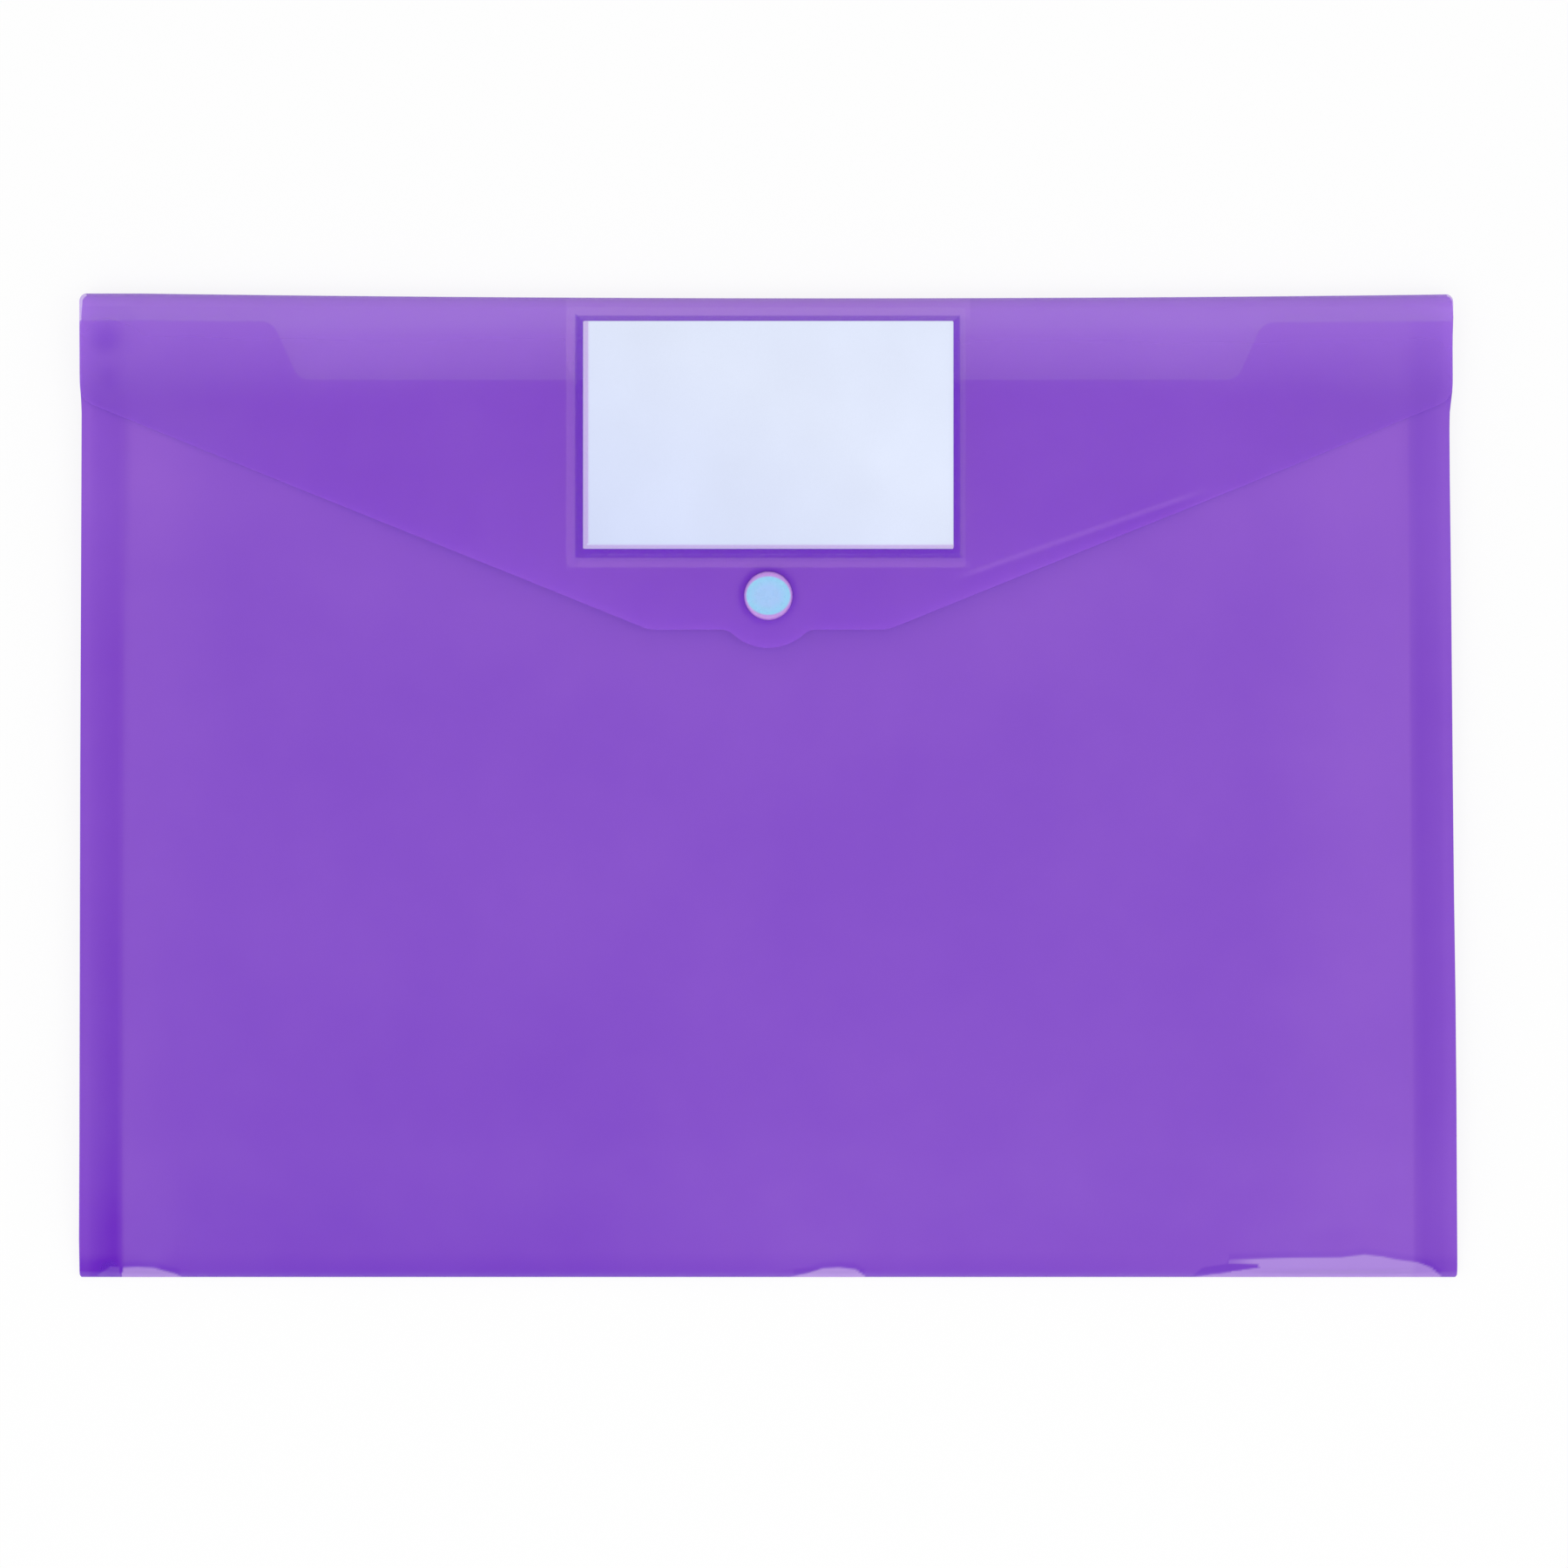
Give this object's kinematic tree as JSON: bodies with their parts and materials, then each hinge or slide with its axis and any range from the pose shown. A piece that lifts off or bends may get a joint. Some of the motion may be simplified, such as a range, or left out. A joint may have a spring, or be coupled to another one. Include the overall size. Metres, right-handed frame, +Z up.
{
  "type": "plastic envelope",
  "caption": "Translucent purple plastic document envelope with pleated side gussets, a tapered flap that snaps shut and a clear label pocket that holds a card.",
  "frame": {"origin": "middle of the back panel's outer face, on the surface the envelope lies on, halfway between its side edges and halfway between its bottom fold and its flap's fold", "axes": "+X to the right across the front, +Y from the bottom fold to the flap's fold, +Z up out of the front"},
  "size_m": [0.33, 0.236, 0.0113],
  "materials": {
    "purple_film": "satin translucent polypropylene film, faintly mottled",
    "clear_film": "clear glossy film",
    "white_card": "smooth matt card, cool white",
    "snap_plastic": "smooth pale blue plastic"
  },
  "bodies": {
    "back": {"back_panel": "purple_film", "bottom_fold": "purple_film", "left_gusset": "purple_film", "right_gusset": "purple_film"},
    "front": {"front_panel": "purple_film", "snap_stud": "snap_plastic", "snap_stud_cap": "snap_plastic"},
    "spine": {"spine": "purple_film"},
    "flap": {"flap": "purple_film", "label_pocket": "clear_film", "snap_cap": "snap_plastic", "snap_socket": "snap_plastic"},
    "card": {"label_card": "white_card"}
  },
  "joints": [
    {"name": "spine_fold", "type": "hinge", "parent": "back", "child": "spine", "pos_m": [0, 0.1179, 0.0001], "axis": [-1, 0, 0], "range_deg": [0, 87]},
    {"name": "flap_fold", "type": "hinge", "parent": "spine", "child": "flap", "pos_m": [0, 0.1179, 0.01], "axis": [-1, 0, 0], "range_deg": [0, 87]},
    {"name": "front_lift", "type": "hinge", "parent": "back", "child": "front", "pos_m": [0, -0.11705, 0.0015], "axis": [1, 0, 0], "range_deg": [0, 2.9], "deforming": ["left_gusset", "right_gusset"]},
    {"name": "card_slide", "type": "slide", "parent": "flap", "child": "card", "axis": [1, 0, 0], "range_m": [0, 0.06]}
  ],
  "couplings": [
    {"joint": "flap_fold", "follows": "spine_fold", "ratio": 1},
    {"joint": "front_lift", "follows": "spine_fold", "ratio": 0.033333}
  ]
}
